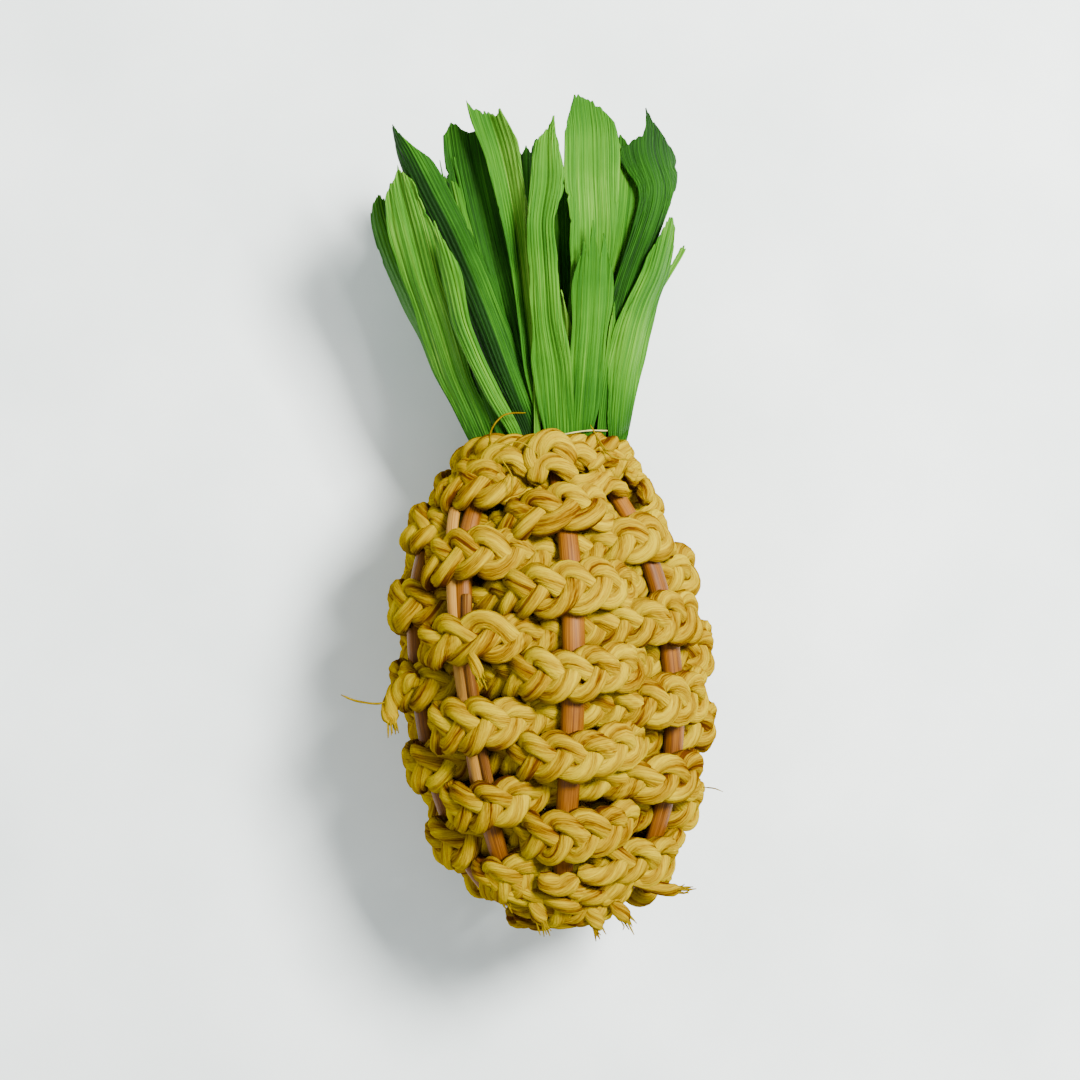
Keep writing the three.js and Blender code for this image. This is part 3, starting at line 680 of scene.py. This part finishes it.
# layer, where 0 is the front one, higher ones lie further in, and -1 is the back one, with -2 inside it,
# and where a fraction keeps a leaf off the ones beside it;
# stops of height, x and width; then the tip's shape, or how deep it is cut from left to right; tone, the
# leaf's own colour, made darker as painted shade on leaves that lie in shadow;
# and how strongly the leaf is creased along its middle, where a strong crease also gives a painted lighter
# half and a painted darker half
LEAVES = {
    "leaf_left_narrow": (0, [
        (99, -2.6, 2.4), (106, -6.2, 2.8), (114, -9.6, 3), (122, -12.2, 3.2), (131, -13.4, 3.8),
        (137, -14.6, 2.6), (142, -16, 0.8),
    ], "point", 0.16, 0.5),
    "leaf_centre_tall": (0, [
        (98, 5.5, 5), (104, 5.5, 6.2), (112, 5.5, 7), (121, 4.6, 5.4), (130, 4.8, 4.6), (140, 4.8, 5),
        (148, 6.6, 6.4), (154, 7, 4.8), (158, 7.5, 3.6), (161, 8.8, 1),
    ], (5.4, 4.2, 3.4, 1.4, 0, 7), 0.13, -0.3),
    "leaf_centre_right": (0, [
        (97, 10, 3.8), (104, 11, 5), (112, 12.2, 6), (120, 13.4, 7), (127, 14.2, 7), (134, 15, 5.6),
        (140, 15.2, 5),
    ], (10, 4.0, 7.5, 0, 8.5, 3.0, 11), 0.05, 0.3),
    "leaf_right_front": (0, [
        (96, 17.5, 3), (101, 18, 4.4), (110, 19.6, 6), (119, 22.2, 7.6), (124, 24.2, 5.6), (129, 27, 5),
        (135, 29, 4.2), (140, 30.6, 2.4),
    ], "lobe", 0.12, 0.5),
    "leaf_left_front": (1, [
        (98, -9.3, 4), (103, -11, 5.2), (112, -14.3, 6.4), (122, -16.6, 7.4), (131, -19, 7.4),
        (141, -20.8, 8), (150, -22.4, 6), (154, -22.6, 3),
    ], (6, 3.4, 2.6, 0, 1.4, 2.0, 4), 0.14, -0.4),
    "leaf_left_folded": (1, [
        (99, 0.6, 3.6), (103, -0.7, 4.4), (112, -3.6, 5.8), (121, -6.2, 6.6), (131, -9.3, 7.2),
        (141, -13, 7), (148, -16, 7), (153, -18, 6), (158, -20.2, 4.6), (162, -22.8, 0.8),
    ], (0.4, 0, 2.6, 5, 8), -0.2, 0.9),
    "leaf_centre_sharp": (1, [
        (99, 3.4, 2.4), (111, 1.2, 2.4), (120, 0.8, 2.8), (130, 0.4, 3.4), (140, 0, 4.2),
        (149, -1, 5.2), (156, -2.2, 7), (165, -4.4, 6.4),
    ], (0, 1.4, 2.4, 1.8, 3.0, 2.2, 8.5), 0.1, -1.0),
    "leaf_right_striped": (1, [
        (99, 9.6, 4.4), (112, 11, 5.6), (124, 13, 6.4), (132, 14.6, 7.2), (140, 15.2, 8.6),
        (149, 15.4, 9.8), (158, 16, 9.4), (165, 15.6, 6.6),
    ], (7, 0.4, 0, 0.9, 1.5, 3.0, 5.4), 0.07, -0.4),
    "leaf_right_curled": (1, [
        (99, 14.6, 3), (112, 17, 3.6), (120, 18.8, 4), (129, 22, 4.8), (138, 26, 5.2), (143, 28, 5.4),
        (147, 28.8, 7), (151, 27.4, 10.6), (154.5, 26.6, 11.4), (158, 27.4, 7), (162.5, 27.2, 2),
    ], (9, 7.6, 6.0, 6.4, 0, 1.8, 4.4, 9), -0.16, 0.5),
    "leaf_left_outer": (2, [
        (98, -10.2, 3), (106, -13, 4.6), (113, -15.6, 5), (126, -20.4, 5.6), (137, -24.2, 5.8),
        (145, -26.2, 5), (149, -26.8, 3.4),
    ], "lobe", 0.06, 0.3),
    "leaf_left_slim": (2, [
        (99, -5.6, 2.8), (112, -7.4, 3.6), (125, -8.4, 4), (136, -9.6, 3.8), (146, -11.4, 3.4),
        (155, -12.8, 2.4),
    ], "ragged", 0.04, 0.3),
    "leaf_left_wide": (2, [
        (99, -0.2, 3.2), (112, -1.4, 5), (121, -2.4, 6), (128, -3.6, 7.6), (135, -5, 9.2),
        (145, -6.6, 10), (155, -8, 9.4), (162, -8.6, 8.4),
    ], (2.5, 0, 1.6, 2.2, 1.4, 3.4), -0.1, -0.3),
    "leaf_core_left": (2.35, [
        (99, 3.4, 3.6), (112, 2.6, 5), (125, 2.4, 5), (140, 2.8, 4.8), (150, 3.2, 5), (158, 3.8, 4.4),
    ], (0.6, 3.2, 2.0, 2.8, 0, 1), -0.12, 0.2),
    "leaf_core_right": (2, [
        (99, 7.8, 3.6), (112, 8.2, 5), (125, 8.6, 5), (138, 9, 5), (147, 9.4, 4.4), (153, 9.8, 3),
    ], "ragged", -0.02, 0.2),
    "leaf_right_inner": (2, [
        (99, 12.8, 3.6), (112, 15.2, 5), (124, 18, 6.4), (134, 20.4, 7), (144, 22.4, 7.4),
        (152, 23.4, 6.8), (158, 23.8, 5),
    ], "ragged", 0.12, -0.3),
    "leaf_core_back_left": (3, [
        (99, -6, 4), (112, -9.6, 6.6), (125, -12.8, 8), (138, -15.6, 8), (151, -17, 6),
    ], "ragged", -0.04, 0.3),
    "leaf_core_back_right": (3, [
        (99, 10, 4), (112, 12.6, 7), (125, 15, 8.6), (140, 18, 9), (157, 18.8, 6),
    ], "ragged", -0.04, 0.3),
    "leaf_middle_1": (5, [
        (99, -3.2, 4.6), (125, -9.6, 8), (145, -13.6, 7.6), (153, -14.6, 5),
    ], "ragged", 0.0, 0.3),
    "leaf_middle_2": (5.35, [
        (99, 1.2, 4.6), (125, -1.8, 8), (145, -3.8, 8), (149, -4, 6),
    ], "ragged", 0.06, 0.3),
    "leaf_middle_3": (5, [
        (99, 5.6, 4.6), (125, 6, 8), (145, 6.4, 8), (154, 6.6, 5),
    ], "point", -0.04, 0.3),
    "leaf_middle_4": (5.35, [
        (99, 10, 4.6), (125, 13.8, 8), (145, 16.2, 7.6), (151, 17, 5),
    ], "ragged", 0.04, 0.3),
    "leaf_back_1": (-1, [
        (99, -9.4, 4.6), (125, -17.2, 8), (145, -22.6, 8), (150, -24, 6),
    ], "point", 0.04, 0.3),
    "leaf_back_2": (-1.35, [
        (99, -4.8, 4.6), (125, -9.6, 8), (145, -13.6, 8.4), (155, -14.4, 6),
    ], "ragged", 0.0, 0.3),
    "leaf_back_3": (-1, [
        (99, -0.2, 4.6), (125, -1.8, 8.2), (145, -4.2, 9), (147, -4.8, 7),
    ], "lobe", 0.08, 0.3),
    "leaf_back_4": (-1.35, [
        (99, 4.6, 4.6), (125, 6.2, 8.2), (145, 5.6, 9), (156, 5.8, 6),
    ], "ragged", 0.0, 0.3),
    "leaf_back_5": (-1, [
        (99, 9.6, 4.6), (125, 14.2, 8.2), (145, 15.6, 9), (149, 16.6, 7),
    ], "point", 0.06, 0.3),
    "leaf_back_6": (-1.35, [
        (99, 15, 4.6), (125, 21.6, 7.4), (145, 25.8, 8), (153, 27, 5),
    ], "ragged", -0.03, 0.3),
    "leaf_inner_1": (-2, [
        (99, -6.4, 4.8), (125, -13.2, 8.6), (145, -17.2, 9), (158, -18.6, 6),
    ], "ragged", 0.0, 0.3),
    "leaf_inner_2": (-2.35, [
        (99, -0.8, 4.8), (125, -3.6, 9), (145, -5.4, 9.6), (161, -6, 7),
    ], "point", -0.05, 0.3),
    "leaf_inner_3": (-2, [
        (99, 5.2, 4.8), (125, 6.6, 9), (145, 8.2, 9.8), (154, 8.8, 7),
    ], "ragged", 0.04, 0.3),
    "leaf_inner_4": (-2.35, [
        (99, 12, 4.8), (125, 17, 8.6), (145, 20.6, 9), (160, 22, 6),
    ], "point", 0.0, 0.3),
}

SLIVERS = [  # thin torn strips that stand beside a leaf, laid out in the same way
    ("leaf_right_front", 0.6, [
        (112, 20.6, 1.4), (119, 23.2, 1.6), (124, 26, 1.4), (129, 29.6, 1.2), (135, 34, 1),
    ], (0.6, 0, 0.8), 0.16, 0.2),
    ("leaf_core_right", 0.5, [
        (99, 8.4, 1.6), (112, 8.4, 2.4), (120, 8.8, 2.2), (127, 8.2, 0.8),
    ], "point", 0.22, 0.3),
    ("leaf_centre_right", 0.3, [
        (97, 14, 1.4), (106, 15.4, 2), (116, 17.4, 1.8), (124, 18.6, 0.8),
    ], "point", 0.1, 0.3),
    ("leaf_left_narrow", 0.5, [
        (99, -5.4, 2), (110, -8.6, 2.6), (122, -11.8, 2), (129, -13.4, 0.8),
    ], "point", 0.02, 0.3),
    ("leaf_centre_tall", 0.5, [
        (110, 2.2, 1.4), (126, 2.4, 1.8), (138, 2.0, 1.4), (146, 2.2, 0.8),
    ], "point", 0.24, 0.3),
    ("leaf_right_curled", 1.5, [
        (120, 21.4, 2), (132, 24.4, 2.4), (142, 25.6, 1.6), (149, 25.8, 0.6),
    ], "point", 0.2, 0.3),
]

TABLE_HEIGHTS = np.linspace(80, 170, 361)
SOFTENING = np.exp(-0.5 * (np.arange(-16, 17) / 6.0) ** 2)
SOFTENING /= SOFTENING.sum()


def softened(stops, column):
    """A column of stops over height, with its corners rounded, on TABLE_HEIGHTS."""
    stops = np.asarray(stops, float)
    values = np.interp(TABLE_HEIGHTS, stops[:, 0], stops[:, column])
    return np.convolve(np.pad(values, 16, mode="edge"), SOFTENING, mode="valid")


CROWN_TABLE = [softened(CROWN_PROFILE, column) for column in (1, 2, 3)]


def crown_at(height):
    return [np.interp(height, TABLE_HEIGHTS, column) for column in CROWN_TABLE]


def layer_depth(layer, x, height):
    half_width, half_depth, middle = crown_at(height)
    aside = np.clip((x - middle) / (CROWN_ROUNDNESS * half_width), -0.98, 0.98)
    inwards = -1 - layer if layer < 0 else layer
    return (1 if layer < 0 else -1) * half_depth * (np.sqrt(1 - aside * aside) - LAYER_STEP * inwards)


def torn(across, seed):
    """Teeth of different lengths along a torn tip."""
    random = np.random.default_rng(seed)
    places = np.sort(np.concatenate([[-1, 1], random.uniform(-1, 1, 7)]))
    depths = random.uniform(0, 1, 9) ** 1.5 * 7
    return -np.interp(across, places, depths)


def tip_shape(style, across, seed):
    """How far each place across the tip falls short of the leaf's full height, as a negative number."""
    lean = 0.3 * math.sin(seed)
    if style == "point":
        return -7 * np.abs(across - lean) ** 1.3
    if style == "lobe":
        return -4.5 * np.abs(across - lean) ** 2.2
    if style == "ragged":
        return torn(across, seed)
    return -np.interp(across, np.linspace(-1, 1, len(style)), style)


def with_foot(stops):
    """The stops, and one more before them, inside the neck, where the leaves are bunched."""
    neck_height, neck_x, neck_width = stops[0]
    neck_half, _, neck_middle = crown_at(neck_height)
    foot_half, _, foot_middle = crown_at(LEAF_FOOT_HEIGHT)
    share = foot_half / neck_half
    foot = (LEAF_FOOT_HEIGHT, foot_middle + (neck_x - neck_middle) * share, neck_width * share)
    return [foot] + stops


def leaf_edge(across, height, seed):
    """The uneven edge, notched towards the tip, as a factor on the leaf's width."""
    rim_side = 50 * np.sign(across)
    notch = np.maximum(0, Wander(seed + 8, 1.7)(height + rim_side) - 0.55) * smooth(height, 120, 140)
    return 1 + (0.12 * Wander(seed + 2, 7)(height + rim_side) - 0.22 * notch) * np.abs(across) ** 3


def leaf_relief(across, height, free, vein_count, fold, seed):
    """How far a leaf stands out of its layer: veins, waves, pleats, the fold and a slant."""
    veins = 0.10 * np.cos(np.pi * vein_count * across)[None, :]
    pleat_phase = np.pi * (0.9 + 0.5 * math.sin(seed)) * across + 0.6 * Wander(seed + 9, 30)(height)
    pleats = 0.55 * np.abs(np.sin(pleat_phase))
    wave = 0.8 * Wander(seed + 4, 15)(height + 6 * across) * across
    droop = 1.1 * Wander(seed + 6, 26)(height)
    creased = fold * (1.2 - 2.4 * np.abs(across))
    slant = 0.5 * math.sin(1.3 * seed) * across
    return veins + free * (wave + droop + pleats + creased + slant)


def sheet(middle, fibre):
    """A closed thin sheet round a grid of points: its points, faces and fibre coordinates."""
    rows, columns = middle.shape[:2]
    normal = unit(np.cross(np.gradient(middle, axis=1), np.gradient(middle, axis=0)))
    front, back = middle + normal * LEAF_HALF_THICKNESS, middle - normal * LEAF_HALF_THICKNESS
    count = rows * columns
    grid = np.arange(count).reshape(rows, columns)
    quads = np.stack([grid[:-1, :-1], grid[:-1, 1:], grid[1:, 1:], grid[1:, :-1]], axis=-1).reshape(-1, 4)
    rim = np.concatenate([grid[0, :], grid[1:, -1], grid[-1, -2::-1], grid[-2:0:-1, 0]])
    ahead = np.roll(rim, -1)
    walls = np.stack([ahead, rim, rim + count, ahead + count], axis=-1)
    points = press_on_floor(np.vstack([front.reshape(-1, 3), back.reshape(-1, 3)]))
    faces = np.vstack([quads, quads[:, ::-1] + count, walls])
    return points, faces, np.vstack([fibre.reshape(-1, 3)] * 2)


def leaf(name, node, layer, stops, style, tone, fold, seed):
    widest = max(stop[2] for stop in stops)
    columns, rows = (54, 150) if widest > SLIVER_WIDTH else (16, 110)
    across = np.linspace(-1, 1, columns)
    tips = stops[-1][0] + tip_shape(style, across, seed) + 0.5 * Wander(seed + 1, 0.1)(across)
    along = np.linspace(0, 1, rows)[:, None]
    height = LEAF_FOOT_HEIGHT + (tips[None, :] - LEAF_FOOT_HEIGHT) * along
    outline = with_foot(stops)
    middle_x = np.interp(height, TABLE_HEIGHTS, softened(outline, 1))
    width = np.interp(height, TABLE_HEIGHTS, softened(outline, 2))
    x = middle_x + across * width / 2 * WIDER * leaf_edge(across, height, seed)
    free = smooth(height, *BUNCHED_HEIGHTS)
    side = 1 if layer < 0 else -1
    relief = leaf_relief(across, height, free, max(5, round(widest * 1.3)), fold, seed)
    depth = layer_depth(layer, x, height) + side * relief
    # painted light and shade: a sharply creased leaf has its right half lighter and its left half darker
    painted_fold_light_and_shade = 0.10 * np.sign(across) * (abs(fold) > 0.8)
    # painted shade: the leaves are darker low down, where they are bunched together in the neck
    fibre = np.stack(np.broadcast_arrays(
        height + 17 * seed, (across * width / 2) * 2.2 + 9 * seed,
        tone + 0.06 * Wander(seed + 5, 18)(height) + painted_fold_light_and_shade[None, :] - 0.10 * (1 - free)
    ), axis=-1)
    points, faces, fibres = sheet(np.stack([x, depth, height], axis=-1), fibre)
    piece = new_mesh(f"husk_{name}", points, faces, HUSK, fibres)
    return stands_for(piece, "husk", node)


for index, (name, (layer, stops, style, tone, fold)) in enumerate(LEAVES.items()):
    leaf(name, name, layer, stops, style, tone, fold, 100 + 7 * index)
for index, (node, layer, stops, style, tone, fold) in enumerate(SLIVERS):
    leaf(f"sliver_{index + 1}", node, layer, stops, style, tone, fold, 400 + 7 * index)


# ---- the binding thread ----
def thread():
    share = np.linspace(0, 1, 400)
    turn = np.radians(200 + 340 * share)
    height = 98.2 + 1.2 * np.sin(turn) + 0.6 * Wander(SEED + 80, 0.08)(share)
    half_width, half_depth, middle = crown_at(height)
    path = np.stack([
        middle + (half_width + 0.4) * np.sin(turn), -(half_depth + 1.6) * np.cos(turn), height
    ], axis=-1)
    rings, fibre = strand_rings(path, unit(path * [1, 1, 0]), 0.15, SEED + 81, 0.1, corners=8)
    points, faces, fibres = join_tubes([(rings, fibre)])
    stands_for(new_mesh("tie_thread", points, faces, THREAD, fibres), "thread", "binding_thread")


thread()


# ---- the stage, the lights and the camera ----
def stage():
    bpy.ops.mesh.primitive_plane_add(size=3, location=(0, 0, 0))
    floor = bpy.context.object
    floor.name = "floor"
    made, nodes, links, shader = material("pale_floor")
    place = add_node(nodes, links, "ShaderNodeTexCoord")
    cloud = add_node(nodes, links, "ShaderNodeTexNoise", Vector=place.outputs["Object"], Scale=20, Detail=9)
    colour = ramp(nodes, links, cloud.outputs[0], [
        (0.32, (0.77, 0.84, 0.82, 1)), (0.68, (0.91, 0.97, 0.95, 1)),
    ])
    links.new(colour, shader.inputs["Base Color"])
    shader.inputs["Roughness"].default_value = 0.9
    shader.inputs["Specular IOR Level"].default_value = 0.2
    floor.data.materials.append(made)


def area_light(name, place, target, size, power, colour=(1, 1, 1)):
    data = bpy.data.lights.new(name, "AREA")
    data.size = size
    data.energy = power
    data.color = colour
    lamp = bpy.data.objects.new(name, data)
    lamp.location = place
    lamp.rotation_euler = (Vector(target) - Vector(place)).to_track_quat("-Z", "Y").to_euler()
    bpy.context.scene.collection.objects.link(lamp)


def lights():
    area_light("key", (0.38, 0.22, 0.68), (0, 0, 0.03), 0.22, 24.0, (1.0, 0.985, 0.96))
    area_light("fill", (-0.5, -0.4, 0.9), (0, 0, 0.03), 0.9, 2.5)
    world = bpy.data.worlds.new("studio")
    bpy.context.scene.world = world
    world.use_nodes = True
    world.node_tree.nodes["Background"].inputs[0].default_value = (0.93, 0.97, 1.0, 1)
    world.node_tree.nodes["Background"].inputs[1].default_value = 0.70


def camera():
    """Straight above the toy, turned a little, as it lies at a slight angle."""
    data = bpy.data.cameras.new("camera")
    sensor = 36
    distance, view_width, aim_height, roll = 0.6, 0.2185, 0.032, -4
    data.sensor_width = sensor
    data.lens = sensor * distance / view_width
    data.clip_start = 0.01
    eye = bpy.data.objects.new("camera", data)
    eye.location = (0.0005, -0.0047, aim_height + distance)
    eye.rotation_euler = (0, 0, math.radians(roll))
    bpy.context.scene.collection.objects.link(eye)
    bpy.context.scene.camera = eye


stage()
lights()
camera()
